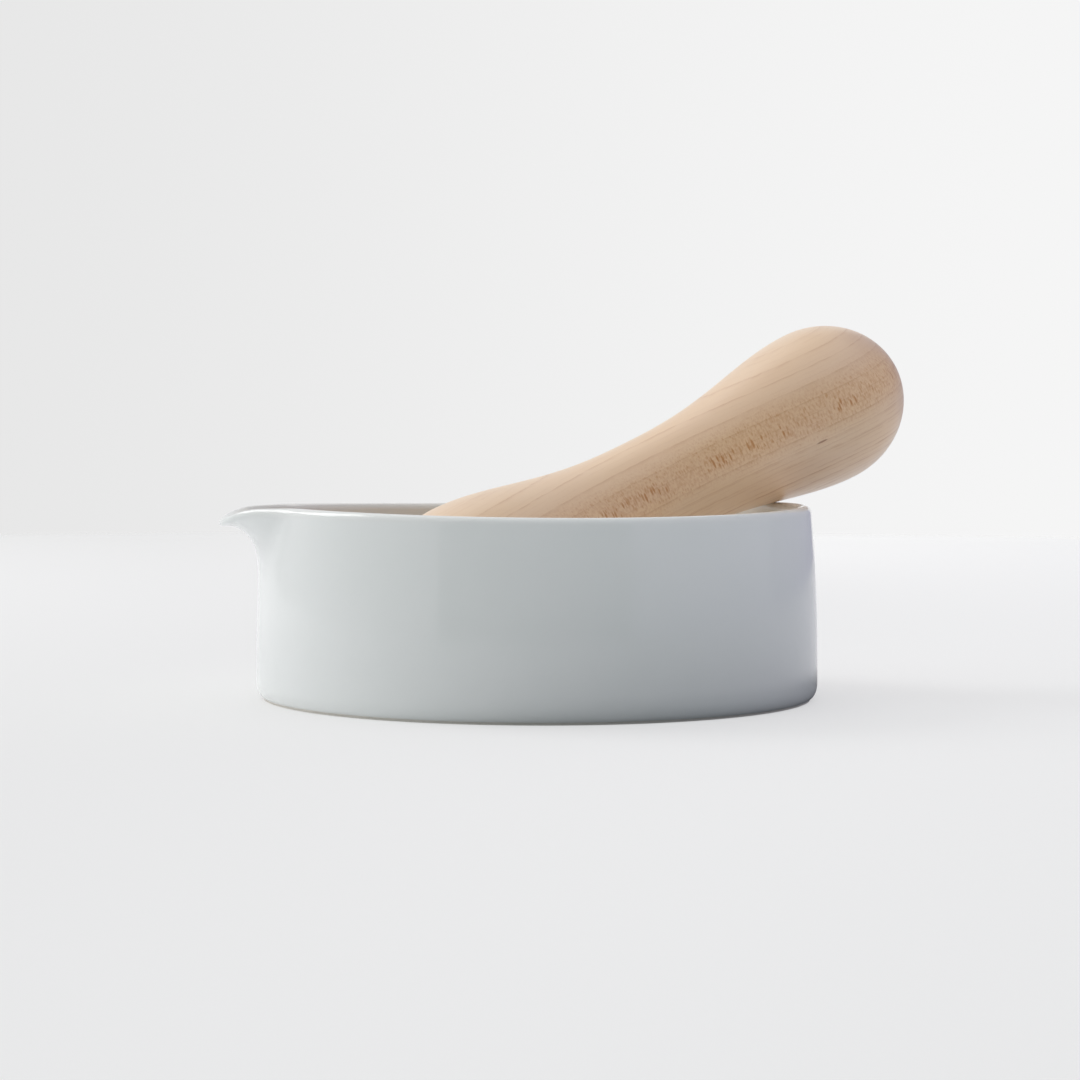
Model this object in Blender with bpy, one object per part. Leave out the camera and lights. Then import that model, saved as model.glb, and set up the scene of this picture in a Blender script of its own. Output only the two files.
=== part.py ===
"""A spouted porcelain mortar with its turned wooden pestle leaning in it.

The mortar stands on its foot with its axis on Z, and its spout points towards -X.
The pestle's head is on the bowl's floor, and its neck lies on the rim.
All sizes are in metres.
"""

import math

import bmesh
import bpy

# Mortar: the body of the bowl
HEIGHT = 0.0507
WALL_RADIUS = 0.0750
RIM_RADIUS = 0.0732
WIDEST_HEIGHT = 0.0095
DRAW_IN_POWER = 1.8
INNER_RADIUS = 0.0694
FLOOR_THICKNESS = 0.0078
FLOOR_FILLET = 0.0200
FOOT_RADIUS = 0.0728
FOOT_HEIGHT = 0.0006
FOOT_ROUND_RADIUS = 0.0732
FOOT_ROUND_HEIGHT = 0.0038

# Mortar: the spout, pulled out of the lip
PULL = 0.0125
PULL_FADE = 0.0048
PULL_HALF_WIDTH = math.radians(24)
DROP = 0.0024
DROP_FADE = 0.0017
DROP_HALF_WIDTH = math.radians(13)
TIP_THICKNESS = 0.0020
THINNING_FADE = 0.0089
SPOUT_DIRECTION = math.pi

# Mortar: the lip's slight unevenness, from the pull and the kiln
SADDLE = 0.0007
SADDLE_DIRECTION = math.radians(4)
LIP_TILT = 0.0002
UNEVENNESS_POWER = 3

# Pestle: two equal round ends joined by a waist
PESTLE_LENGTH = 0.1634
END_RADIUS = 0.0220
END_DOME = 0.0242
NECK_RADIUS = 0.0150
WAIST_POWER = 1.29

# Pestle: how it leans in the mortar
PESTLE_AZIMUTH = math.radians(13)
PESTLE_LEAN = math.radians(24.6)
HEAD_REACH = 0.0195
REST_GAP = 0.0003

# Fineness of the facets
SPOUT_STEP = math.radians(3)
WALL_STEP = math.radians(6)
WALL_ROWS = 10
LIP_STEPS = 6
FILLET_STEPS = 5
FOOT_ROUND_STEPS = 3
PESTLE_SEGMENTS = 40
WAIST_STEPS = 16
DOME_STEPS = 6
MERGE_DISTANCE = 1e-6

LIP_RADIUS = (RIM_RADIUS - INNER_RADIUS) / 2
LIP_CENTRE_HEIGHT = HEIGHT - LIP_RADIUS
WALL_THICKNESS = RIM_RADIUS - INNER_RADIUS


def clear_scene():
    for thing in list(bpy.data.objects):
        bpy.data.objects.remove(thing)


def material(name, colour, roughness):
    made = bpy.data.materials.new(name)
    made.use_nodes = True
    shader = made.node_tree.nodes["Principled BSDF"]
    shader.inputs["Base Color"].default_value = (*colour, 1.0)
    shader.inputs["Roughness"].default_value = roughness
    shader.inputs["Metallic"].default_value = 0.0
    made.diffuse_color = (*colour, 1.0)
    return made


def arc(centre, radii, start, end, steps):
    """Points on an arc in the (radius, height) plane, without the first one."""
    points = []
    for step in range(1, steps + 1):
        angle = start + (end - start) * step / steps
        points.append((centre[0] + radii[0] * math.cos(angle), centre[1] + radii[1] * math.sin(angle)))
    return points


def wall_radius(height):
    """Outside radius of the wall, which draws in slightly towards the lip."""
    share = max(0.0, height - WIDEST_HEIGHT) / (LIP_CENTRE_HEIGHT - WIDEST_HEIGHT)
    return WALL_RADIUS - (WALL_RADIUS - RIM_RADIUS) * share ** DRAW_IN_POWER


def mortar_section():
    """Half section from the foot's centre, up the outside, over the lip and down to the floor's centre."""
    corner = (FOOT_ROUND_RADIUS, FOOT_HEIGHT + FOOT_ROUND_HEIGHT)
    bulge = (WALL_RADIUS - FOOT_ROUND_RADIUS, FOOT_ROUND_HEIGHT)
    points = [(0.0, 0.0), (FOOT_RADIUS, 0.0), (FOOT_RADIUS, FOOT_HEIGHT), (FOOT_ROUND_RADIUS, FOOT_HEIGHT)]
    points += arc(corner, bulge, -math.pi / 2, 0.0, FOOT_ROUND_STEPS)
    rows = []
    for row in range(WALL_ROWS, -1, -1):
        rows.append(LIP_CENTRE_HEIGHT - (LIP_CENTRE_HEIGHT - WIDEST_HEIGHT) * (row / WALL_ROWS) ** 1.7)
    points += [(wall_radius(height), height) for height in rows]
    points += arc((RIM_RADIUS - LIP_RADIUS, LIP_CENTRE_HEIGHT), (LIP_RADIUS, LIP_RADIUS), 0.0, math.pi, LIP_STEPS)
    fillet_height = FLOOR_THICKNESS + FLOOR_FILLET
    points += [(INNER_RADIUS, height) for height in reversed(rows[:-1]) if height > fillet_height]
    points.append((INNER_RADIUS, fillet_height))
    fillet_centre = (INNER_RADIUS - FLOOR_FILLET, fillet_height)
    points += arc(fillet_centre, (FLOOR_FILLET, FLOOR_FILLET), 0.0, -math.pi / 2, FILLET_STEPS)
    points.append((0.0, FLOOR_THICKNESS))
    return points


def bell(angle, half_width):
    """1 in the middle of the spout, falling smoothly to 0 at half_width."""
    if abs(angle) >= half_width:
        return 0.0
    return math.cos(angle / half_width * math.pi / 2) ** 2


def pulled(radius, height, angle):
    """Where the pull of the spout carries a point of the plain section.

    The wall is bent as a sheet. A point keeps its place across the sheet, and the lip's round keeps its
    place at the sheet's end, so the spout stays a rounded lip of even thickness.
    """
    if height < FLOOR_THICKNESS + FLOOR_FILLET:
        return radius, height
    below_end = max(0.0, LIP_CENTRE_HEIGHT - height)
    beyond_end = max(0.0, height - LIP_CENTRE_HEIGHT)
    sheet_radius = (wall_radius(min(height, LIP_CENTRE_HEIGHT)) + INNER_RADIUS) / 2
    out = PULL * bell(angle, PULL_HALF_WIDTH) * math.exp(-below_end / PULL_FADE)
    down = DROP * bell(angle, DROP_HALF_WIDTH) * math.exp(-below_end / DROP_FADE)
    thinning = bell(angle, PULL_HALF_WIDTH) * math.exp(-below_end / THINNING_FADE)
    scale = 1.0 - (1.0 - TIP_THICKNESS / WALL_THICKNESS) * thinning
    slope_out = out / PULL_FADE
    slope_up = 1.0 - down / DROP_FADE
    length = math.hypot(slope_out, slope_up)
    along = (slope_out / length, slope_up / length)
    across = (along[1], -along[0])
    aside = (radius - sheet_radius) * scale
    ahead = beyond_end * scale
    new_radius = sheet_radius + out + aside * across[0] + ahead * along[0]
    new_height = height - beyond_end - down + aside * across[1] + ahead * along[1]
    return new_radius, new_height


def unevenness(direction, height):
    """Height that the slightly uneven lip adds, fading out below it."""
    at_lip = SADDLE * math.cos(2 * (direction - SADDLE_DIRECTION)) + LIP_TILT * math.cos(direction)
    return at_lip * (height / HEIGHT) ** UNEVENNESS_POWER


def shape_spout(mesh):
    for vert in mesh.verts:
        radius = math.hypot(vert.co.x, vert.co.y)
        if radius < MERGE_DISTANCE:
            continue
        direction = math.atan2(vert.co.y, vert.co.x)
        from_spout = math.remainder(direction - SPOUT_DIRECTION, 2 * math.pi)
        new_radius, new_height = pulled(radius, vert.co.z, from_spout)
        vert.co.x *= new_radius / radius
        vert.co.y *= new_radius / radius
        vert.co.z = new_height + unevenness(direction, vert.co.z)


def turn(mesh, section, start, turns):
    """Spin a section about Z, in runs of (angle, step size), and close the result."""
    last = []
    for radius, height in section:
        last.append(mesh.verts.new((radius * math.cos(start), radius * math.sin(start), height)))
    last += [mesh.edges.new(pair) for pair in zip(last, last[1:])]
    for angle, step in turns:
        spun = bmesh.ops.spin(
            mesh, geom=last, cent=(0, 0, 0), axis=(0, 0, 1), angle=angle, steps=round(angle / step)
        )
        last = spun["geom_last"]
    bmesh.ops.remove_doubles(mesh, verts=mesh.verts, dist=MERGE_DISTANCE)
    bmesh.ops.recalc_face_normals(mesh, faces=mesh.faces)


def finished_object(name, mesh, surface):
    data = bpy.data.meshes.new(name)
    mesh.to_mesh(data)
    mesh.free()
    data.materials.append(surface)
    data.shade_smooth()
    data.set_sharp_from_angle(angle=math.radians(50))
    made = bpy.data.objects.new(name, data)
    bpy.context.collection.objects.link(made)
    return made


def mortar():
    mesh = bmesh.new()
    spout_run = (math.radians(48), SPOUT_STEP)
    plain_run = (math.radians(312), WALL_STEP)
    turn(mesh, mortar_section(), SPOUT_DIRECTION - math.radians(24), [spout_run, plain_run])
    shape_spout(mesh)
    return finished_object("mortar", mesh, material("glazed_porcelain", (0.80, 0.82, 0.82), 0.12))


def pestle_section():
    """Half section from the head's end to the handle's end, along the pestle's own axis."""
    waist = PESTLE_LENGTH - 2 * END_DOME
    dome = (END_RADIUS, END_DOME)
    points = [(0.0, -END_DOME)] + arc((0.0, 0.0), dome, -math.pi / 2, 0.0, DOME_STEPS)
    for step in range(1, WAIST_STEPS):
        from_middle = abs(2 * step / WAIST_STEPS - 1)
        swell = math.sin(math.pi / 2 * from_middle ** WAIST_POWER) ** 2
        points.append((NECK_RADIUS + (END_RADIUS - NECK_RADIUS) * swell, waist * step / WAIST_STEPS))
    points.append((END_RADIUS, waist))
    points += arc((0.0, waist), dome, 0.0, math.pi / 2, DOME_STEPS)
    points[-1] = (0.0, waist + END_DOME)
    return points


def pestle():
    """The pestle has its origin in the middle of its head, and its own +Z runs up its handle."""
    mesh = bmesh.new()
    turn(mesh, pestle_section(), 0.0, [(2 * math.pi, 2 * math.pi / PESTLE_SEGMENTS)])
    made = finished_object("pestle", mesh, material("pale_hardwood", (0.62, 0.44, 0.29), 0.55))
    made.location.x = -HEAD_REACH * math.cos(PESTLE_AZIMUTH)
    made.location.y = -HEAD_REACH * math.sin(PESTLE_AZIMUTH)
    lowest = math.hypot(END_RADIUS * math.cos(PESTLE_LEAN), END_DOME * math.sin(PESTLE_LEAN))
    made.location.z = FLOOR_THICKNESS + REST_GAP + lowest
    made.rotation_euler = (0.0, math.pi / 2 - PESTLE_LEAN, PESTLE_AZIMUTH)
    return made


clear_scene()
mortar()
pestle()
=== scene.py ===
# %% [markdown]
# # A spouted porcelain mortar with a turned maple pestle
#
# The mortar is a low, wide porcelain bowl with an almost upright wall, a fully rounded lip and a
# small spout pulled out of the lip while the clay was soft. The pestle is turned from one piece
# of maple: two round ends and a slim waist between them. It lies loose in the bowl, with its
# handle leaning over the lip.
#
# The measured model is loaded first. It fixes the size, the place and the way the pieces move.
# Everything below builds two finer pieces in the same place and gives them their finish.

import math

import bmesh
import bpy
from mathutils import Matrix, Vector


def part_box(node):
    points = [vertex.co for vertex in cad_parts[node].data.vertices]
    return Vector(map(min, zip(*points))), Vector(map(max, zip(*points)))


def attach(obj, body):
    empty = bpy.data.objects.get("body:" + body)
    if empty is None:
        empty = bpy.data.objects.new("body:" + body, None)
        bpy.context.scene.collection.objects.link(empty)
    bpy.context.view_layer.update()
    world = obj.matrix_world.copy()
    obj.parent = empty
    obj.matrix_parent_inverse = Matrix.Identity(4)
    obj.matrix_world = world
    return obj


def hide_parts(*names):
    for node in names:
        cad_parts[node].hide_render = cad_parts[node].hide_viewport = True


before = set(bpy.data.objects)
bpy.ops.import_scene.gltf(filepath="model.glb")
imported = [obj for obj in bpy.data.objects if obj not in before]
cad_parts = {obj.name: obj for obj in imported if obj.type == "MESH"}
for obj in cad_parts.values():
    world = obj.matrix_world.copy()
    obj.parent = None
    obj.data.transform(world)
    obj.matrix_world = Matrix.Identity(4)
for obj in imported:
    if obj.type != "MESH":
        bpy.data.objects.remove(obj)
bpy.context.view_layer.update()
MM = 0.001

# %% [markdown]
# ## Camera
#
# The object is seen from the front, with the eye only a little above the rim, through a long
# lens from about 70 cm away. So the bowl reads almost as a plain rectangle and the opening as a
# thin slit. The camera stands a few degrees to the left of the front, so the spout, which points
# to the left, is turned slightly towards the viewer.

# %% Camera
VIEW_TURN = math.radians(9.0)
VIEW_DISTANCE = 0.6972
VIEW_ASIDE = 0.00072
EYE_HEIGHT = 0.0697
TILT_DOWN = math.radians(2.29)
ROLL = math.radians(0.18)
LENS = 86.67
SENSOR_WIDTH = 36.0

camera_data = bpy.data.cameras.new("camera")
camera_data.lens = LENS
camera_data.sensor_width = SENSOR_WIDTH
camera = bpy.data.objects.new("camera", camera_data)
bpy.context.scene.collection.objects.link(camera)
camera.matrix_world = (
    Matrix.Rotation(-VIEW_TURN, 4, "Z")
    @ Matrix.Translation((VIEW_ASIDE, -VIEW_DISTANCE, EYE_HEIGHT))
    @ Matrix.Rotation(math.pi / 2 - TILT_DOWN, 4, "X")
    @ Matrix.Rotation(ROLL, 4, "Z")
)
bpy.context.scene.camera = camera
print("camera at", [round(c, 4) for c in camera.matrix_world.translation])

# %% [markdown]
# ## Working by hand in code
#
# Both pieces are shaped with the same operators that a person uses in edit mode: inset, extrude,
# bevel, bisect and resize. An operator works on what is selected, and the loaded nodes start out
# selected, so each step first deselects everything and then selects by place. These few helpers
# do the selecting.

# %% Helpers for selecting
SAME_PLACE = 0.01 * MM
NEARLY_SAME = 0.1 * MM
MERGE_DISTANCE = 0.002 * MM


def start_piece(name):
    """The primitive that was just added, named and opened in edit mode."""
    piece = bpy.context.active_object
    piece.name = name
    piece.data.name = name
    bpy.ops.object.mode_set(mode="EDIT")
    return piece


def choose(kind, test):
    """Selects only the edges or faces whose every corner passes a test, and counts them."""
    bpy.ops.mesh.select_mode(type=kind)
    bpy.ops.mesh.select_all(action="DESELECT")
    mesh = bpy.context.active_object.data
    bm = bmesh.from_edit_mesh(mesh)
    count = 0
    for part in {"EDGE": bm.edges, "FACE": bm.faces}[kind]:
        if all(test(vert.co) for vert in part.verts):
            part.select = True
            count += 1
    bm.select_flush_mode()
    bmesh.update_edit_mesh(mesh)
    return count


def from_axis(point):
    """How far a point is from the upright axis."""
    return math.hypot(point.x, point.y)


def near(value, target, slack=SAME_PLACE):
    """True if two lengths differ by less than the slack."""
    return abs(value - target) < slack


print("points within", MERGE_DISTANCE / MM, "mm of each other are merged")


# %% Helpers for shaping
def cut_level(height):
    """Cuts the selected faces through at one height. The new loop is left selected."""
    bpy.ops.mesh.bisect(plane_co=(0, 0, height), plane_no=(0, 0, 1))


def widen_to(radius, height):
    """Resizes the selected loop about the upright axis until it has that radius."""
    bm = bmesh.from_edit_mesh(bpy.context.active_object.data)
    chosen = [from_axis(vert.co) for vert in bm.verts if vert.select]
    share = radius * len(chosen) / sum(chosen)
    bpy.ops.transform.resize(value=(share, share, 1), center_override=(0, 0, height))


def finish_piece(piece, sharp_angle):
    """Leaves edit mode, merges doubles, points the faces out and smooths the shading."""
    bpy.ops.mesh.select_all(action="SELECT")
    bpy.ops.mesh.remove_doubles(threshold=MERGE_DISTANCE)
    bpy.ops.mesh.normals_make_consistent(inside=False)
    bpy.ops.object.mode_set(mode="OBJECT")
    bpy.ops.object.shade_smooth_by_angle(angle=sharp_angle)
    bm = bmesh.new()
    bm.from_mesh(piece.data)
    open_edges = sum(len(edge.link_faces) != 2 for edge in bm.edges)
    volume = bm.calc_volume(signed=True)
    bm.free()
    faces = len(piece.data.polygons)
    print(f"{piece.name}: {faces} faces, {open_edges} open edges, {volume / MM**3 / 1000:.1f} ml")


print("pieces are finished with", finish_piece.__name__)

# %% [markdown]
# ## The mortar, first as a plain bowl
#
# A potter would throw or cast the bowl round and pull the spout last, and the model does the
# same. It starts as a solid cylinder as wide as the rim. The top is inset by the thickness of
# the wall and pushed down to make the hollow. One large bevel rounds the inside corner into the
# curve that a pestle can follow, and two small bevels that meet in the middle round the lip.

# %% Mortar: cylinder, hollow, fillet and lip
HEIGHT = 50.7 * MM
RIM_RADIUS = 73.2 * MM
INNER_RADIUS = 69.4 * MM
WALL = RIM_RADIUS - INNER_RADIUS
LIP_RADIUS = WALL / 2
LIP_LEVEL = HEIGHT - LIP_RADIUS
FLOOR_LEVEL = 7.8 * MM
FILLET = 20.0 * MM
FILLET_SEGMENTS = 20
LIP_SEGMENTS = 8
FOOT_STEP = 0.6 * MM
AROUND = 360


def floor_corner(p):
    return near(p.z, FLOOR_LEVEL) and near(from_axis(p), INNER_RADIUS, NEARLY_SAME)


bpy.ops.object.select_all(action="DESELECT")
bpy.ops.mesh.primitive_cylinder_add(
    vertices=AROUND,
    radius=RIM_RADIUS,
    depth=HEIGHT - FOOT_STEP,
    location=(0, 0, (HEIGHT + FOOT_STEP) / 2),
)
bpy.ops.object.transform_apply(location=True, rotation=False, scale=False)
mortar = start_piece("mortar_bowl")

choose("FACE", lambda p: near(p.z, HEIGHT))
bpy.ops.mesh.inset(thickness=WALL)
bpy.ops.mesh.extrude_region_move(
    TRANSFORM_OT_translate={"value": (0, 0, FLOOR_LEVEL - HEIGHT)}
)
corner = choose("EDGE", floor_corner)
bpy.ops.mesh.bevel(offset=FILLET, segments=FILLET_SEGMENTS, affect="EDGES")
lip = choose("FACE", lambda p: near(p.z, HEIGHT))
bpy.ops.mesh.region_to_loop()
bpy.ops.mesh.bevel(
    offset=LIP_RADIUS, segments=LIP_SEGMENTS, affect="EDGES", clamp_overlap=False
)
bpy.ops.mesh.select_all(action="SELECT")
bpy.ops.mesh.remove_doubles(threshold=SAME_PLACE)
print("corner edges:", corner, "faces between the two lip loops:", lip)

# %% [markdown]
# ## The drawn-in wall and the rounded foot
#
# The wall isn't quite upright. It is widest about a centimetre above the table, draws in a
# little towards the rim, and turns under at the foot in a small round. Each level is cut into
# the wall with a bisect, and the new loop is widened to the radius that belongs to its height.
# The cuts lie closer together near the lip, because the spout will bend the wall there.

# %% Mortar: profile of the wall
WIDEST_RADIUS = 75.0 * MM
WIDEST_LEVEL = 9.5 * MM
DRAW_IN_POWER = 1.8
FOOT_ROUND_TOP = FOOT_STEP + 3.8 * MM


def wall_radius(height):
    """The outside radius of the wall."""
    share = max(0.0, height - WIDEST_LEVEL) / (LIP_LEVEL - WIDEST_LEVEL)
    return WIDEST_RADIUS - (WIDEST_RADIUS - RIM_RADIUS) * share**DRAW_IN_POWER


def foot_round_radius(height):
    """The outside radius where the wall turns under, a quarter of an ellipse."""
    below = (FOOT_ROUND_TOP - height) / (FOOT_ROUND_TOP - FOOT_STEP)
    return RIM_RADIUS + (WIDEST_RADIUS - RIM_RADIUS) * math.sqrt(max(0.0, 1 - below**2))


print("wall radius half way up:", round(wall_radius(HEIGHT / 2) / MM, 2), "mm")

# %% Mortar: cutting the levels
FILLET_TOP = FLOOR_LEVEL + FILLET
OUTER_LEVELS = 30
INNER_LEVELS = 22
CROWDING = 1.7
FOOT_ROUND_LEVELS = 8


def crowded_levels(bottom, top, count):
    """Heights between two levels, closer together towards the top."""
    return [top - (top - bottom) * (1 - step / count) ** CROWDING for step in range(count)]


def outer_wall(p):
    return from_axis(p) > (RIM_RADIUS + INNER_RADIUS) / 2 and p.z < LIP_LEVEL + SAME_PLACE


def inner_wall(p):
    return near(from_axis(p), INNER_RADIUS, NEARLY_SAME) and p.z > FILLET_TOP - SAME_PLACE


for height in crowded_levels(FOOT_ROUND_TOP, LIP_LEVEL, OUTER_LEVELS):
    choose("FACE", outer_wall)
    cut_level(height)
    widen_to(wall_radius(height), height)
for step in range(1, FOOT_ROUND_LEVELS):
    turn = step / FOOT_ROUND_LEVELS * math.pi / 2
    height = FOOT_ROUND_TOP - (FOOT_ROUND_TOP - FOOT_STEP) * math.sin(turn)
    choose("FACE", outer_wall)
    cut_level(height)
    widen_to(foot_round_radius(height), height)
for height in crowded_levels(FILLET_TOP, LIP_LEVEL, INNER_LEVELS)[1:]:
    choose("FACE", inner_wall)
    cut_level(height)
print("faces after cutting the levels:", len(bmesh.from_edit_mesh(mortar.data).faces))

# %% [markdown]
# ## Foot and floor
#
# The bowl stands on a flat foot. Glaze would stick to the kiln shelf, so it stops at a tiny step
# just above the table, and the foot below the step is bare. The step is an inset and a short
# extrude. The two large round faces, under the foot and inside on the floor, are closed with a
# few inset rings and a poked middle, so that no face is a huge polygon.

# %% Mortar: foot step, floor and underside
FOOT_INSET = 0.4 * MM
UNDERSIDE_RINGS = 12
FLOOR_RINGS = 10


def close_disc(level, radius, rings):
    """Fills a flat round face with rings of faces and a fan in the middle."""
    choose("FACE", lambda p: near(p.z, level) and from_axis(p) < radius + NEARLY_SAME)
    for ring in range(1, rings):
        bpy.ops.mesh.inset(thickness=radius / rings)
    bpy.ops.mesh.poke()


choose("FACE", lambda p: near(p.z, FOOT_STEP))
bpy.ops.mesh.inset(thickness=FOOT_INSET)
bpy.ops.mesh.extrude_region_move(TRANSFORM_OT_translate={"value": (0, 0, -FOOT_STEP)})
close_disc(0.0, RIM_RADIUS - FOOT_INSET, UNDERSIDE_RINGS)
close_disc(FLOOR_LEVEL, INNER_RADIUS - FILLET, FLOOR_RINGS)
bpy.ops.mesh.select_all(action="SELECT")
bpy.ops.mesh.remove_doubles(threshold=MERGE_DISTANCE)
bpy.ops.object.mode_set(mode="OBJECT")
print("faces of the round bowl:", len(mortar.data.polygons))

# %% [markdown]
# ## Pulling the spout
#
# A potter pulls a spout with one wet finger between two others: the wall bends outwards, the
# tip dips a little and gets thinner, and the bend fades out a few millimetres below the lip.
# Proportional editing could push such a bump, but it would squash the round lip. So here each
# point is moved by a rule that keeps its place across the thickness of the sheet, as in real
# clay. Around the bowl the pull fades with a soft bell curve, and down the wall it dies away.

# %% Mortar: the rule for the spout
PULL = 12.5 * MM
PULL_FADE = 4.8 * MM
PULL_HALF_WIDTH = math.radians(24.0)
DROP = 2.4 * MM
DROP_FADE = 1.7 * MM
DROP_HALF_WIDTH = math.radians(13.0)
TIP_THICKNESS = 2.0 * MM
THINNING_FADE = 8.9 * MM


def bell(angle, half_width):
    """1 in the middle of the spout, falling softly to 0 at its half width."""
    if abs(angle) >= half_width:
        return 0.0
    return math.cos(angle / half_width * math.pi / 2) ** 2


def pulled(radius, height, angle):
    """Where a point of the round bowl goes when the spout is pulled."""
    below = max(0.0, LIP_LEVEL - height)
    beyond = max(0.0, height - LIP_LEVEL)
    middle = (wall_radius(min(height, LIP_LEVEL)) + INNER_RADIUS) / 2
    out = PULL * bell(angle, PULL_HALF_WIDTH) * math.exp(-below / PULL_FADE)
    down = DROP * bell(angle, DROP_HALF_WIDTH) * math.exp(-below / DROP_FADE)
    thinning = bell(angle, PULL_HALF_WIDTH) * math.exp(-below / THINNING_FADE)
    scale = 1.0 - (1.0 - TIP_THICKNESS / WALL) * thinning
    slope_out = out / PULL_FADE
    slope_up = 1.0 - down / DROP_FADE
    length = math.hypot(slope_out, slope_up)
    along = (slope_out / length, slope_up / length)
    aside = (radius - middle) * scale
    ahead = beyond * scale
    new_radius = middle + out + aside * along[1] + ahead * along[0]
    new_height = height - beyond - down - aside * along[0] + ahead * along[1]
    return new_radius, new_height


lip_middle = pulled((RIM_RADIUS + INNER_RADIUS) / 2, LIP_LEVEL, 0.0)
print("radius and height of the spout's tip in mm:", [round(c / MM, 1) for c in lip_middle])

# %% Mortar: spout
SPOUT_DIRECTION = math.pi

moved = 0
for vert in mortar.data.vertices:
    radius, height = from_axis(vert.co), vert.co.z
    angle = math.remainder(math.atan2(vert.co.y, vert.co.x) - SPOUT_DIRECTION, 2 * math.pi)
    if height < FILLET_TOP or abs(angle) >= PULL_HALF_WIDTH:
        continue
    new_radius, new_height = pulled(radius, height, angle)
    vert.co.x *= new_radius / radius
    vert.co.y *= new_radius / radius
    vert.co.z = new_height
    moved += 1
print("points moved by the spout:", moved)

# %% [markdown]
# ## A rim that isn't quite level
#
# Porcelain softens in the kiln, so a rim never stays perfectly flat. This one dips by less than
# a millimetre at the front and back, like a very weak saddle. The change grows with the cube of
# the height, so the foot stays true.

# %% Mortar: saddle and finish of the mesh
SADDLE = 0.7 * MM
SADDLE_DIRECTION = math.radians(4.0)
LIP_TILT = 0.2 * MM
WARP_POWER = 3
SHARP_ON_MORTAR = math.radians(35)

for vert in mortar.data.vertices:
    direction = math.atan2(vert.co.y, vert.co.x)
    warp = SADDLE * math.cos(2 * (direction - SADDLE_DIRECTION)) + LIP_TILT * math.cos(direction)
    vert.co.z += warp * (vert.co.z / HEIGHT) ** WARP_POWER
bpy.ops.object.mode_set(mode="EDIT")
finish_piece(mortar, SHARP_ON_MORTAR)

# %% [markdown]
# ## The pestle
#
# A turner starts from a square blank and cuts a waist between two round ends. In code it is
# easier to grow the shape than to cut it. A thin slice of a cylinder is the start. Its end face
# is extruded along the axis in short steps, and each new ring is resized to the radius of the
# profile at that place. Both ends close as domes a little longer than half a ball. The rings lie
# closer together towards the poles of the domes, where the radius changes fastest.

# %% Pestle: profile
END_RADIUS = 22.0 * MM
DOME = 24.2 * MM
NECK_RADIUS = 15.0 * MM
PESTLE_LENGTH = 163.4 * MM
SPAN = PESTLE_LENGTH - 2 * DOME
WAIST_POWER = 1.29


def pestle_radius(along):
    """The radius of the pestle, measured from the middle of the head's dome."""
    beyond = max(-along, along - SPAN, 0.0)
    if beyond > 0.0:
        return END_RADIUS * math.sqrt(max(0.0, 1 - (beyond / DOME) ** 2))
    swell = math.sin(math.pi / 2 * abs(2 * along / SPAN - 1) ** WAIST_POWER) ** 2
    return NECK_RADIUS + (END_RADIUS - NECK_RADIUS) * swell


print("radius in the middle of the waist:", round(pestle_radius(SPAN / 2) / MM, 2), "mm")


# %% Pestle: helpers for growing it
DOME_RINGS = 22


def turn_to(along, radius):
    """Extrudes the selected end face to a new place along the axis and resizes it."""
    bm = bmesh.from_edit_mesh(bpy.context.active_object.data)
    chosen = [vert.co for vert in bm.verts if vert.select]
    old_along = chosen[0].z
    share = radius / from_axis(chosen[0])
    bpy.ops.mesh.extrude_region_move(
        TRANSFORM_OT_translate={"value": (0, 0, along - old_along)}
    )
    bpy.ops.transform.resize(value=(share, share, 1), center_override=(0, 0, along))


def grow_dome(start, way):
    """Grows a dome from the selected end face, in even angles, and closes it in a pole."""
    for step in range(1, DOME_RINGS):
        up = DOME * math.sin(step / DOME_RINGS * math.pi / 2)
        turn_to(start + way * up, pestle_radius(start + way * up))
    bpy.ops.mesh.extrude_region_move(TRANSFORM_OT_translate={"value": (0, 0, 0)})
    bpy.ops.transform.translate(value=(0, 0, way * (DOME - up)))
    bpy.ops.mesh.merge(type="CENTER")


print("rings on each dome:", DOME_RINGS)

# %% Pestle: from the first slice to both domes
AROUND_PESTLE = 128
WAIST_RINGS = 64
SLICE = SPAN / WAIST_RINGS
SHARP_ON_PESTLE = math.radians(60)

bpy.ops.object.select_all(action="DESELECT")
bpy.ops.mesh.primitive_cylinder_add(
    vertices=AROUND_PESTLE, radius=END_RADIUS, depth=SLICE, location=(0, 0, 0)
)
pestle = start_piece("pestle_turned")
bpy.ops.mesh.select_all(action="SELECT")
bpy.ops.transform.translate(value=(0, 0, SLICE / 2))
choose("FACE", lambda p: near(p.z, SLICE))
share = pestle_radius(SLICE) / END_RADIUS
bpy.ops.transform.resize(value=(share, share, 1), center_override=(0, 0, 0))
for ring in range(2, WAIST_RINGS + 1):
    turn_to(SPAN * ring / WAIST_RINGS, pestle_radius(SPAN * ring / WAIST_RINGS))
grow_dome(SPAN, 1)
choose("FACE", lambda p: near(p.z, 0.0))
grow_dome(0.0, -1)
finish_piece(pestle, SHARP_ON_PESTLE)

# %% [markdown]
# ## Laying the pestle in the bowl
#
# The head rests on the floor of the bowl and the waist on the lip, so the pestle leans at about
# 25 degrees. The whole mesh is turned and moved, and then the turn is applied, so that the
# object itself stays at the origin like the loaded nodes. The same two angles later tell the
# wood where its grain runs. At the end, both pieces are measured against the loaded nodes.

# %% Pestle: place
LEAN = math.radians(24.6)
AZIMUTH = math.radians(13.0)
HEAD_REACH = 19.5 * MM
REST_GAP = 0.3 * MM

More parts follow.
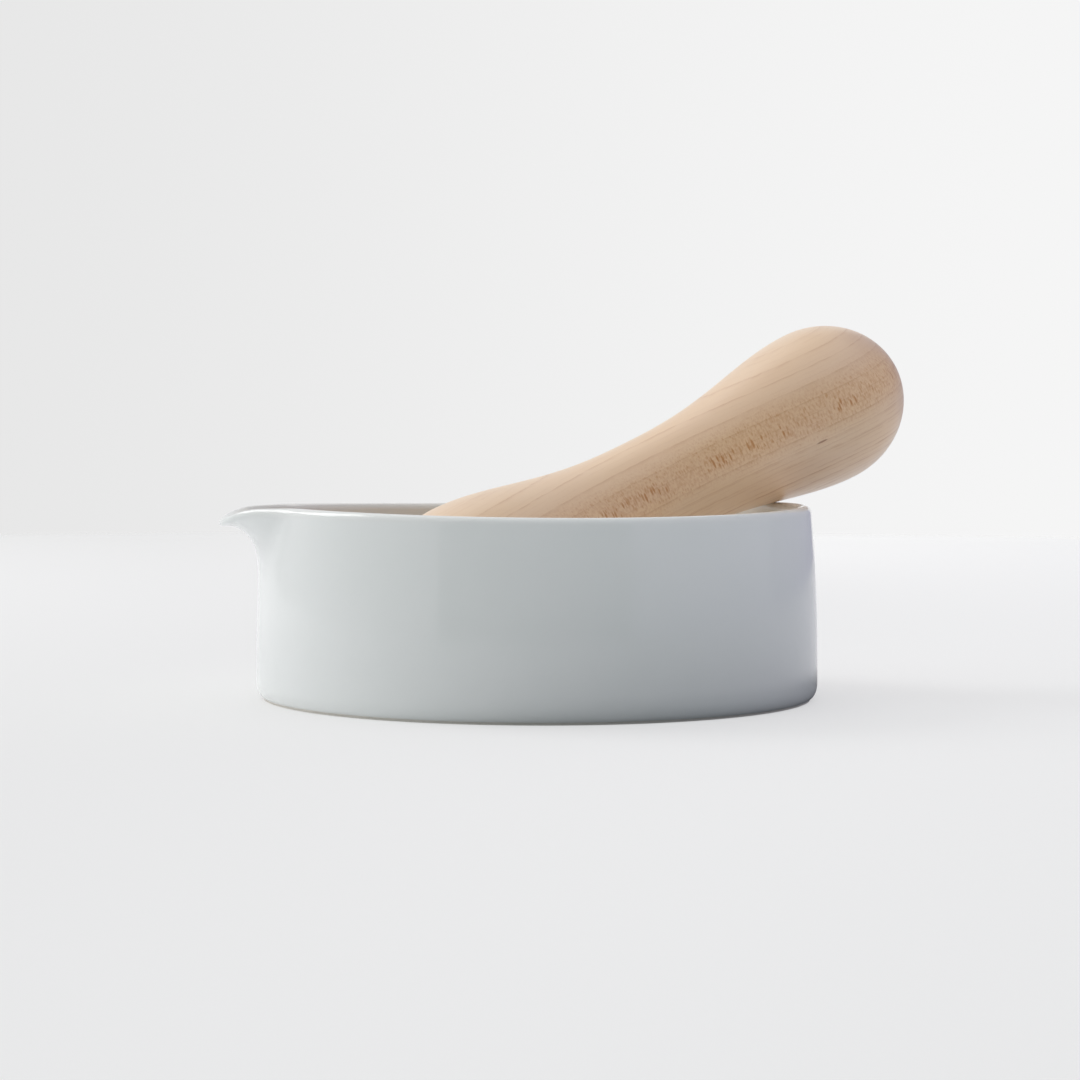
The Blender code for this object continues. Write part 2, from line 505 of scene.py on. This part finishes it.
head_rest = math.hypot(END_RADIUS * math.cos(LEAN), DOME * math.sin(LEAN))
head_centre = Vector(
    (
        -HEAD_REACH * math.cos(AZIMUTH),
        -HEAD_REACH * math.sin(AZIMUTH),
        FLOOR_LEVEL + REST_GAP + head_rest,
    )
)
pestle.rotation_euler = (0, math.pi / 2 - LEAN, AZIMUTH)
pestle.location = head_centre
bpy.ops.object.select_all(action="DESELECT")
pestle.select_set(True)
bpy.ops.object.transform_apply(location=True, rotation=True, scale=True)
print("middle of the head in mm:", [round(c / MM, 1) for c in head_centre])

# %% Both pieces against the measured model
for piece, node in ((mortar, "mortar"), (pestle, "pestle")):
    points = [vert.co for vert in piece.data.vertices]
    for word, pick, corner in zip(("lowest", "highest"), (min, max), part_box(node)):
        mine = [pick(point[axis] for point in points) for axis in range(3)]
        pairs = [f"{a / MM:.2f} for {b / MM:.2f}" for a, b in zip(mine, corner)]
        print(piece.name, word, pairs)

# %% [markdown]
# ## Writing shader maths as sums
#
# Each finish is a network of nodes. Drawn by hand, even one small formula takes a dozen nodes, so
# here a value from a node is wrapped in a class that knows plus, minus, times, divided by and
# power, and adds the Math node for each. One method, `node`, makes any other kind of node.

# %% A value in a material
class Value:
    """One number or vector that runs through a material."""

    def __init__(self, finish, socket):
        self.finish = finish
        self.socket = socket

    def __add__(self, other):
        return self.finish.math("ADD", self, other)

    def __radd__(self, other):
        return self.finish.math("ADD", other, self)

    def __sub__(self, other):
        return self.finish.math("SUBTRACT", self, other)

    def __rsub__(self, other):
        return self.finish.math("SUBTRACT", other, self)

    def __mul__(self, other):
        return self.finish.math("MULTIPLY", self, other)

    def __rmul__(self, other):
        return self.finish.math("MULTIPLY", other, self)

    def __truediv__(self, other):
        return self.finish.math("DIVIDE", self, other)

    def __pow__(self, other):
        return self.finish.math("POWER", self, other)

    def clamped(self):
        return self.finish.math("ADD", self, 0.0, clamp=True)

    def step(self, start, end):
        """0 below start and 1 above end, with a soft rise between them."""
        settings = {"interpolation_type": "SMOOTHSTEP"}
        values = {"Value": self, "From Min": start, "From Max": end}
        return self.finish.node("ShaderNodeMapRange", settings, values)


print("a value with its own arithmetic:", Value.__name__)


# %% A finish, and the ways to add nodes to it
class Finish:
    """A material with one Principled shader, and the ways to add nodes to it."""

    def __init__(self, name):
        self.material = bpy.data.materials.new(name)
        self.material.use_nodes = True
        self.tree = self.material.node_tree
        self.shader = self.tree.nodes["Principled BSDF"]
        self.count = 0

    def node(self, kind, settings=None, values=None, output=0):
        """Adds a node: its settings first, then its sockets, and gives one of its outputs."""
        made = self.tree.nodes.new(kind)
        for name, setting in (settings or {}).items():
            setattr(made, name, setting)
        for name, value in (values or {}).items():
            self.feed(made.inputs[name], value)
        self.count += 1
        return Value(self, made.outputs[output])

    def feed(self, socket, value):
        """Gives a socket a link or a plain number, vector or colour."""
        if isinstance(value, Value):
            self.tree.links.new(value.socket, socket)
        elif isinstance(value, (tuple, list)) and len(socket.default_value) == 4:
            socket.default_value = (*value[:3], 1.0)
        else:
            socket.default_value = value

    def shade(self, **values):
        """Sets sockets of the Principled shader; an underscore stands for a space."""
        for name, value in values.items():
            self.feed(self.shader.inputs[name.replace("_", " ")], value)

    def math(self, operation, *values, clamp=False):
        """A Math node on one or more values."""
        settings = {"operation": operation, "use_clamp": clamp}
        return self.node("ShaderNodeMath", settings, dict(enumerate(values)))

    def place(self):
        """The point on the piece, in metres, in the frame of the whole object."""
        return self.node("ShaderNodeTexCoord", output="Object")

    def parts(self, vector):
        """The three numbers of a vector."""
        split = self.node("ShaderNodeSeparateXYZ", values={0: vector})
        outputs = split.socket.node.outputs
        return [Value(self, outputs[axis]) for axis in range(3)]

    def vector(self, x, y, z):
        return self.node("ShaderNodeCombineXYZ", values={0: x, 1: y, 2: z})

    def noise(self, vector, scale, detail=2.0, roughness=0.5):
        values = {"Vector": vector, "Scale": scale, "Detail": detail, "Roughness": roughness}
        return self.node("ShaderNodeTexNoise", values=values, output="Fac")

    def cells(self, vector, scale):
        """Voronoi cells: the distance from a cell's point, and three random numbers for it."""
        values = {"Vector": vector, "Scale": scale}
        distance = self.node("ShaderNodeTexVoronoi", values=values, output="Distance")
        return distance, self.parts(Value(self, distance.socket.node.outputs["Color"]))

    def blend(self, share, first, second):
        """Mixes two colours. The colour sockets of a Mix node are found by their number."""
        values = {0: share, 6: first, 7: second}
        return self.node("ShaderNodeMix", {"data_type": "RGBA"}, values, 2)

    def bump(self, height, strength, distance, base=None):
        """Turns a height into a bent normal, on top of another bump if there is one."""
        values = {"Height": height, "Strength": strength, "Distance": distance}
        if base is not None:
            values["Normal"] = base
        return self.node("ShaderNodeBump", values=values, output="Normal")


print("a material that adds its own nodes:", Finish.__name__)

# %% [markdown]
# ## Porcelain under a clear glaze
#
# Porcelain is a cool white body with a glassy glaze on top. The shader is glossy where there is
# glaze and rough where there is none: on the foot, where the bowl stood on the kiln shelf, and
# low inside, where a rough floor helps the grinding. Both kinds of surface take their own bump.
# The glaze runs in very low waves, carries a few iron specks, and looks a little greener where
# it lies thick and warmer on the lip where it is thin.
#
# The inside of the bowl is painted a darker, warmer cream: painted shade, with the warm tint of
# light thrown off the maple. A change at one radius would leave a hard line across the spout, so
# the painted shade follows the way the surface faces: it comes in softly where the lip turns
# towards the middle of the bowl.

# %% Porcelain: where the clay is bare
BARE_INSIDE_TOP = 17.0 * MM
BARE_SOFTNESS = 0.5 * MM
EDGE_WANDER = 1.6 * MM
INSIDE_EDGE = (INNER_RADIUS + 1.0 * MM, INNER_RADIUS + 0.2 * MM)
FOOT_EDGE = (FOOT_STEP + 0.25 * MM, FOOT_STEP + 0.05 * MM)
OVER_THE_FOOT = (4.0 * MM, 5.0 * MM)

glaze = Finish("glazed_porcelain")
point = glaze.place()
x, y, z = glaze.parts(point)
radius = (x * x + y * y) ** 0.5

wandering = (glaze.noise(point, 45.0, 3.0) - 0.5) * EDGE_WANDER
inside = radius.step(*INSIDE_EDGE)
low = (z + wandering).step(BARE_INSIDE_TOP + BARE_SOFTNESS, BARE_INSIDE_TOP - BARE_SOFTNESS)
bare_inside = inside * low * z.step(*OVER_THE_FOOT)
bare_foot = (z + wandering * 0.15).step(*FOOT_EDGE)
bare = (bare_inside + bare_foot).clamped()
glazed = 1 - bare
print("inside, the clay is bare below", round(BARE_INSIDE_TOP / MM, 1), "mm")

# %% Porcelain: colours of the glaze
THIN_ON_LIP = (HEIGHT - 3.0 * MM, HEIGHT + 0.5 * MM)
THICK_IN_CORNER = (30.0 * MM, 12.0 * MM)
DEEP_INSIDE = (INNER_RADIUS + 0.5 * MM, INNER_RADIUS - 4.0 * MM)
TURNED_INWARD = (0.15, -0.5)

body_white = (0.85, 0.87, 0.868)
thick_glaze = (0.80, 0.845, 0.83)
thin_glaze = (0.87, 0.865, 0.845)
# painted shade inside the bowl, warmed as if by light thrown off the maple
inner_painted_shade = (0.77, 0.75, 0.70)

cloud = glaze.noise(point, 18.0, 4.0, 0.6)
lip_thin = z.step(*THIN_ON_LIP)
corner_thick = z.step(*THICK_IN_CORNER) * inside
normal_x, normal_y, _ = glaze.parts(glaze.node("ShaderNodeTexCoord", output="Normal"))
outward_facing = (x * normal_x + y * normal_y) / radius
turned_inward = outward_facing.step(*TURNED_INWARD)
# Painted shade: glaze that faces inward, or lies deep inside, is blended towards the darker,
# warmer tone.
painted_shade_share = glaze.math("MAXIMUM", turned_inward, radius.step(*DEEP_INSIDE))
painted_shade_share = painted_shade_share * z.step(*OVER_THE_FOOT)
colour = glaze.blend(cloud.step(0.3, 0.75) * 0.35, body_white, thick_glaze)
colour = glaze.blend(corner_thick * 0.6, colour, thick_glaze)
colour = glaze.blend(painted_shade_share, colour, inner_painted_shade)
colour = glaze.blend(lip_thin * 0.6, colour, thin_glaze)
print("glaze nodes for place and colour:", glaze.count)

# %% Porcelain: iron specks and bare clay
CELLS_PER_METRE = 95.0
SPECK_EDGE = (0.045, 0.02)
SPECK_CHANCE = (0.955, 0.965)

speck_brown = (0.30, 0.26, 0.22)
bare_clay = (0.80, 0.77, 0.72)

from_speck, (chance, _, tone) = glaze.cells(point, CELLS_PER_METRE)
specks = from_speck.step(*SPECK_EDGE) * chance.step(*SPECK_CHANCE) * (0.25 + 0.5 * tone)
colour = glaze.blend(specks, colour, speck_brown)
colour = glaze.blend(bare, colour, bare_clay)
print("specks are at most", round(2 * SPECK_EDGE[0] / CELLS_PER_METRE / MM, 1), "mm across")

# %% Porcelain: waves, grain and gloss
WAVE_DEPTH = 0.25 * MM
GRAIN_DEPTH = 0.08 * MM
GLAZE_ROUGHNESS = 0.05
CLAY_ROUGHNESS = 0.6
CLOUD_ROUGHNESS = 0.03
GLAZE_IOR = 1.52

waves = glaze.noise(point, 70.0, 1.0) * 0.6 + glaze.noise(point, 260.0, 1.0) * 0.08
grain = glaze.noise(point, 2600.0, 2.0)
round_the_bowl = glaze.math("ARCTAN2", y, x) * 0.6
scratches = glaze.noise(glaze.vector(radius * 40.0, z * 40.0, round_the_bowl), 55.0, 2.0)
glaze_bump = glaze.bump(waves * glazed, 0.35, WAVE_DEPTH)
bare_bump = glaze.bump(grain * bare * 0.6 + scratches * bare, 0.5, GRAIN_DEPTH, glaze_bump)

glaze.shade(
    Base_Color=colour,
    Roughness=GLAZE_ROUGHNESS + bare * CLAY_ROUGHNESS + cloud * CLOUD_ROUGHNESS,
    IOR=GLAZE_IOR,
    Normal=bare_bump,
)
mortar.data.materials.clear()
mortar.data.materials.append(glaze.material)
print("glaze nodes:", glaze.count)

# %% [markdown]
# ## Maple
#
# Maple is pale and close-grained. It is made here as a solid, so every cut through it agrees with
# its neighbour. Along the piece runs the grain. Across it lie the growth rings, thin brownish
# lines a few millimetres apart and almost flat, because the tree was much thicker than the
# pestle. At right angles to the rings stand the rays: thin ribbons that run from the middle of
# the tree outwards. On the side of the pestle where the surface follows a ribbon they show as
# dashes across the grain, and away from it they shrink to dots. No painting is needed for that.
# It comes from cells that are long in one direction and thin in the other two.
#
# The rays aren't the same all through. In one narrow strip they are bold and stand in clusters.
# In a wider band around it the wood is darker, with finer rays and a dense stipple of pores. A
# short dark streak, a trace of mineral, lies below the strip near the end of the handle.

# %% Maple: the frame of the tree
RAY_SIDE = math.radians(6.5)
PITH_DISTANCE = 150.0 * MM

grain_way = Vector(
    (
        math.cos(LEAN) * math.cos(AZIMUTH),
        math.cos(LEAN) * math.sin(AZIMUTH),
        math.sin(LEAN),
    )
)
level_side = Vector((math.sin(AZIMUTH), -math.cos(AZIMUTH), 0))
upper_side = level_side.cross(grain_way)
face_way = level_side * math.cos(RAY_SIDE) + upper_side * math.sin(RAY_SIDE)
bark_way = upper_side * math.cos(RAY_SIDE) - level_side * math.sin(RAY_SIDE)
to_tree = Matrix((grain_way, -face_way, bark_way))
print("grain runs along", [round(c, 3) for c in grain_way])

maple = Finish("pale_maple")
tree_point = maple.node(
    "ShaderNodeMapping",
    {"vector_type": "POINT"},
    {
        "Vector": maple.place(),
        "Location": tuple(-(to_tree @ head_centre)),
        "Rotation": tuple(to_tree.to_euler("XYZ")),
    },
)
along, across, outward = maple.parts(tree_point)

# %% Maple: how deep in the tree
RING_WANDER = 1.6 * MM
RING_RIPPLE = 0.5 * MM


def wood_noise(stretch, scale, detail, roughness=0.5):
    """Noise drawn out along the grain: the smaller the stretch, the longer its streaks."""
    return maple.noise(maple.vector(along * stretch, across, outward), scale, detail, roughness)


wander = wood_noise(0.35, 26.0, 1.0)
ripple = wood_noise(0.6, 420.0, 2.0)
from_pith = ((outward + PITH_DISTANCE) ** 2 + across * across) ** 0.5 - PITH_DISTANCE
depth = from_pith + (wander - 0.5) * RING_WANDER + (ripple - 0.5) * RING_RIPPLE
print("the pith lies", round(PITH_DISTANCE / MM), "mm below the axis of the pestle")

# %% Maple: growth rings
RING = 3.7 * MM
RING_START = 2.1 * MM
RING_SHARPNESS = 14.0
FINE_RING = RING * 0.33
FINE_RING_SHARPNESS = 7.0
UNEVEN_YEARS = 2.2

uneven = maple.noise(maple.vector(0.0, 0.0, depth), 120.0, 1.0)
broken = wood_noise(0.3, 480.0, 3.0).step(0.33, 0.62)


def ring_lines(width, start, sharpness):
    """Thin dark lines at the end of each year's growth, some years stronger than others."""
    place = (depth - start) / width + (uneven - 0.5) * UNEVEN_YEARS
    ring = maple.math("FRACT", place)
    year = maple.math("FLOOR", place)
    chance = maple.node("ShaderNodeTexWhiteNoise", {"noise_dimensions": "1D"}, {"W": year})
    return ring**sharpness * (0.4 + 0.6 * chance) + ring**3.0 * 0.12


lines = ring_lines(RING, RING_START, RING_SHARPNESS) * (0.4 + 0.6 * broken)
fine_lines = ring_lines(FINE_RING, 0.0, FINE_RING_SHARPNESS) * broken
print("rings are", round(RING / MM, 1), "mm apart")

# %% Maple: where the rays show
BAND_WANDER = 5.0 * MM
BAND_INNER_EDGE = (-7.0 * MM, 0.0)
BAND_OUTER_EDGE = (12.5 * MM, 4.5 * MM)
STRIP_INNER_EDGE = (-1.0 * MM, 0.4 * MM)
STRIP_OUTER_EDGE = (4.0 * MM, 2.2 * MM)

flat_sawn = maple.node(
    "ShaderNodeVectorMath",
    {"operation": "DOT_PRODUCT"},
    {0: maple.node("ShaderNodeTexCoord", output="Normal"), 1: tuple(bark_way)},
    "Value",
)
quarter_sawn = 1 - flat_sawn * flat_sawn
fully_quarter_sawn = quarter_sawn**2.0
band_noise = maple.noise(maple.vector(along * 0.5, 0.0, 0.0), 70.0, 2.0)
band_edge = from_pith + (band_noise - 0.5) * BAND_WANDER
band = band_edge.step(*BAND_INNER_EDGE) * band_edge.step(*BAND_OUTER_EDGE)
strip = from_pith.step(*STRIP_INNER_EDGE) * from_pith.step(*STRIP_OUTER_EDGE)
print("rays are longest where the surface faces", [round(c, 2) for c in face_way])

# %% Maple: rays and stipple
BOLD_RAY = (0.72 * MM, 0.7 * MM, 3.4 * MM)
FINE_RAY = (0.55 * MM, 0.36 * MM, 1.7 * MM)
FINE_RAY_SHIFT = 40.0


def ribbons(size, shift):
    """Ribbon cells: their size is along the grain, across the rays, and outward."""
    stretched = maple.vector(along / size[0] + shift, across / size[1], from_pith / size[2])
    return maple.cells(stretched, 1.0)


from_bold, bold_chance = ribbons(BOLD_RAY, 0.0)
cluster = maple.noise(maple.vector(along, across * 0.3, outward * 0.3), 75.0, 1.0)
bold_rays = from_bold.step(0.5, 0.3) * bold_chance[0].step(0.05, 0.7) * strip
bold_rays = bold_rays * (0.12 + 0.88 * cluster.step(0.36, 0.54)) * quarter_sawn
from_fine, fine_chance = ribbons(FINE_RAY, FINE_RAY_SHIFT)
fine_rays = from_fine.step(0.55, 0.3) * (0.25 + 0.75 * fine_chance[1] ** 2.0)
fine_rays = fine_rays * fully_quarter_sawn * (0.15 + 0.85 * band)
stipple = maple.noise(maple.vector(along, across, outward * 0.6), 1700.0, 1.0).step(0.42, 0.62)
stipple = stipple * fully_quarter_sawn * band
heights = [round(size[2] / MM, 1) for size in (BOLD_RAY, FINE_RAY)]
print("bold and fine rays reach outward by", heights, "mm")

# %% Maple: colour
RING_FADE = (4.0 * MM, -1.5 * MM)

pale = (0.89, 0.655, 0.455)
honey = (0.88, 0.59, 0.335)
rosy = (0.87, 0.60, 0.43)
line_brown = (0.53, 0.23, 0.07)
ray_brown = (0.57, 0.215, 0.04)

clouds = wood_noise(0.25, 55.0, 3.0)
blush = wood_noise(0.4, 32.0, 2.0)
fibre = wood_noise(0.035, 3800.0, 2.0, 0.6)
inner_side = from_pith.step(*RING_FADE)
wood = maple.blend(clouds.step(0.3, 0.7) * 0.4 + band * 0.6, pale, honey)
wood = maple.blend(blush.step(0.45, 0.75) * 0.5, wood, rosy)
wood = maple.blend((fibre - 0.35) * 0.35, wood, honey)
for share, stain in (
    (fine_lines * (0.16 + 0.3 * inner_side), line_brown),
    (lines * (0.45 + 0.4 * inner_side), line_brown),
    (stipple * 0.22, ray_brown),
    (fine_rays * 0.5, ray_brown),
    (bold_rays * 0.85, ray_brown),
):
    wood = maple.blend(share, wood, stain)
print("maple nodes up to the rays' colour:", maple.count)

# %% Maple: the streak, and the oiled surface
STREAK_ALONG = 102.0 * MM
STREAK_OUTWARD = -7.2 * MM
STREAK_ACROSS = -19.3 * MM
STREAK_LENGTH = 2.0 * MM
STREAK_THICKNESS = 0.33 * MM
STREAK_DEPTH = 1.2 * MM
FIBRE_DEPTH = 0.05 * MM

streak_brown = (0.30, 0.08, 0.02)

streak_along = (along - STREAK_ALONG) / STREAK_LENGTH
streak_up = (outward - STREAK_OUTWARD) / STREAK_THICKNESS
streak_in = (across - STREAK_ACROSS) / STREAK_DEPTH
streak = (streak_along**2.0 + streak_up**2.0 + streak_in**2.0).step(1.0, 0.25)
wood = maple.blend(streak * 0.65, wood, streak_brown)

maple.shade(
    Base_Color=wood,
    Roughness=0.3 + fibre * 0.1,
    Specular_IOR_Level=0.8,
    Coat_Weight=0.4,
    Coat_Roughness=0.3,
    Normal=maple.bump(fibre * 0.6 + bold_rays * 0.3, 0.2, FIBRE_DEPTH),
)
pestle.data.materials.clear()
pestle.data.materials.append(maple.material)
print("maple nodes:", maple.count)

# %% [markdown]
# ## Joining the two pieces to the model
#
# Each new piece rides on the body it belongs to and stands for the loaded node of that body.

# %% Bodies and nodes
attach(mortar, "mortar")
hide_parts("mortar")
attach(pestle, "pestle")
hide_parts("pestle")

# %% [markdown]
# ## Floor and light
#
# A plain pale table that fades into a plain pale room. The bowl is white on white, so the light
# has to draw it. One large soft lamp stands high on the left behind the bowl, with a weak one
# above it. The room is pale all round, a little brighter on the right. Left alone, it would fill
# every shade, so three curved screens stand at the front, on the right and behind on the right.
# They hide the room from the bowl and glow dimly themselves, each as bright as the glaze should
# look on that side. The camera doesn't see them.
#
# The floor is made twice, for the same reason. The upper sheet is only there to be seen: it takes
# the shadows, and a glow of its own, painted light that is stronger on the right, keeps it pale.
# The sheet just below it isn't seen: it throws light back onto the bowl, except near the foot at
# the front on the right, where a painted shadow makes it dark.

# %% Floor that is seen
FLOOR_EDGE = 1.23
FADE = (FLOOR_EDGE - 0.12, FLOOR_EDGE - 0.01)
FLOOR_ROUGHNESS = 0.9
FLOOR_SPECULAR = 0.1


def grey(level):
    """A colour without any hue."""
    return (level, level, level)


def add_floor(name, level):
    """A round sheet of floor."""
    bpy.ops.object.select_all(action="DESELECT")
    bpy.ops.mesh.primitive_circle_add(
        vertices=128, radius=FLOOR_EDGE, fill_type="NGON", location=(0, 0, level)
    )
    sheet = bpy.context.active_object
    sheet.name = name
    return sheet


floor = add_floor("floor", 0.0)
floor.visible_diffuse = False
floor.visible_glossy = False
floor.visible_shadow = False
paper = Finish("pale_floor")
x, y, _ = paper.parts(paper.place())
# Painted light: the floor's glow is stronger to the right, where it lifts the bowl's shadow, and
# stronger again far back on the right.
painted_light_right = (x * 0.9 - y * 0.4).step(-0.12, 0.12)
painted_light_far_right = y.step(0.1, 0.9) * x.step(-0.1, 0.3)
glow = paper.blend(painted_light_right, grey(0.475), grey(0.535))
glow = paper.blend(painted_light_far_right, glow, grey(0.60))
paper.shade(
    Base_Color=grey(0.36),
    Roughness=FLOOR_ROUGHNESS,
    Specular_IOR_Level=FLOOR_SPECULAR,
    Alpha=1 - ((x * x + y * y) ** 0.5).step(*FADE),
    Emission_Color=glow,
    Emission_Strength=1.0,
)
floor.data.materials.append(paper.material)
print("the floor reaches", FLOOR_EDGE, "m from the bowl")

# %% Floor that throws light back
BOUNCE_LEVEL = -0.2 * MM

pale_card = grey(0.93)
painted_shadow_card = (0.14, 0.145, 0.15)

bounce = add_floor("floor_bounce", BOUNCE_LEVEL)
bounce.visible_camera = False
card = Finish("bounce_floor")
x, y, _ = card.parts(card.place())
# Painted shadow: the unseen sheet is dark near the foot at the front on the right, so it throws
# less light onto the bowl's lower wall there.
painted_shadow_side = (x * 0.8 - y * 0.6).step(-0.03, 0.10)
painted_shadow_near_foot = ((x * x + y * y) ** 0.5).step(0.15, 0.09)
card.shade(
    Base_Color=card.blend(painted_shadow_side * painted_shadow_near_foot, pale_card, painted_shadow_card),
    Roughness=FLOOR_ROUGHNESS,
    Specular_IOR_Level=FLOOR_SPECULAR,
)
bounce.data.materials.append(card.material)
print("the sheet below it lies at", round(BOUNCE_LEVEL / MM, 1), "mm")

# %% Room
bpy.context.scene.view_settings.view_transform = "Standard"
ROOM_LEFT = 0.80
ROOM_RIGHT = 0.915
CHANGE_FROM = -0.26
CHANGE_TO = 0.22

world = bpy.data.worlds.new("pale_room")
bpy.context.scene.world = world
world.use_nodes = True
room = world.node_tree
way = room.nodes.new("ShaderNodeTexCoord")
rightward = room.nodes.new("ShaderNodeVectorMath")
rightward.operation = "DOT_PRODUCT"
rightward.inputs[1].default_value = (math.cos(VIEW_TURN), -math.sin(VIEW_TURN), 0)
brightness = room.nodes.new("ShaderNodeMapRange")
brightness.interpolation_type = "SMOOTHSTEP"
brightness.inputs["From Min"].default_value = CHANGE_FROM
brightness.inputs["From Max"].default_value = CHANGE_TO
brightness.inputs["To Min"].default_value = ROOM_LEFT
brightness.inputs["To Max"].default_value = ROOM_RIGHT
room.links.new(way.outputs["Generated"], rightward.inputs[0])
room.links.new(rightward.outputs["Value"], brightness.inputs["Value"])
room.links.new(brightness.outputs["Result"], room.nodes["Background"].inputs["Color"])
print("room from", ROOM_LEFT, "on the left to", ROOM_RIGHT, "on the right")

# %% Lamps
LAMP_SIZE = 0.6
LAMP_DISTANCE = 1.3


def soft_light(name, turn, rise, watts):
    """An area light aimed at the bowl: turn is counted from the front towards the right."""
    lamp = bpy.data.lights.new(name, "AREA")
    lamp.shape = "RECTANGLE"
    lamp.size = LAMP_SIZE
    lamp.size_y = LAMP_SIZE
    lamp.energy = watts
    turn, rise = math.radians(turn), math.radians(rise)
    away = Vector(
        (math.sin(turn) * math.cos(rise), -math.cos(turn) * math.cos(rise), math.sin(rise))
    )
    holder = bpy.data.objects.new(name, lamp)
    bpy.context.scene.collection.objects.link(holder)
    turned = (-away).to_track_quat("-Z", "Y").to_matrix().to_4x4()
    holder.matrix_world = Matrix.Translation(away * LAMP_DISTANCE) @ turned
    print(name, "hangs at", [round(c, 2) for c in away * LAMP_DISTANCE])


soft_light("key_light", -123, 39, 4.3)
soft_light("top_light", -150, 62, 0.6)

# %% Screens
SCREEN_RADIUS = 1.2
SCREEN_COLUMNS = 144
SCREEN_ROUGHNESS = 0.9


def add_screen(name, left_end, right_end, height, glow):
    """A curved screen between two directions, counted from the front towards the right."""
    bpy.ops.object.select_all(action="DESELECT")
    bpy.ops.mesh.primitive_cylinder_add(
        vertices=SCREEN_COLUMNS,
        radius=SCREEN_RADIUS,
        depth=height,
        end_fill_type="NOTHING",
        location=(0, 0, height / 2),
    )
    screen = start_piece(name)

    def open_side(p):
        return not left_end <= math.degrees(math.atan2(p.x, -p.y)) <= right_end

    choose("FACE", open_side)
    bpy.ops.mesh.delete(type="FACE")
    bpy.ops.object.mode_set(mode="OBJECT")
    screen.visible_camera = False
    cloth = Finish(name)
    cloth.shade(
        Base_Color=grey(0.1),
        Roughness=SCREEN_ROUGHNESS,
        Emission_Color=glow,
        Emission_Strength=1.0,
    )
    screen.data.materials.append(cloth.material)
    print(name, "faces:", len(screen.data.polygons))


add_screen("front_screen", -45, 30, 1.3, (0.14, 0.18, 0.16))
add_screen("right_screen", 30, 100, 2.0, (0.48, 0.48, 0.57))
add_screen("side_screen", 100, 148, 2.0, (0.30, 0.30, 0.39))
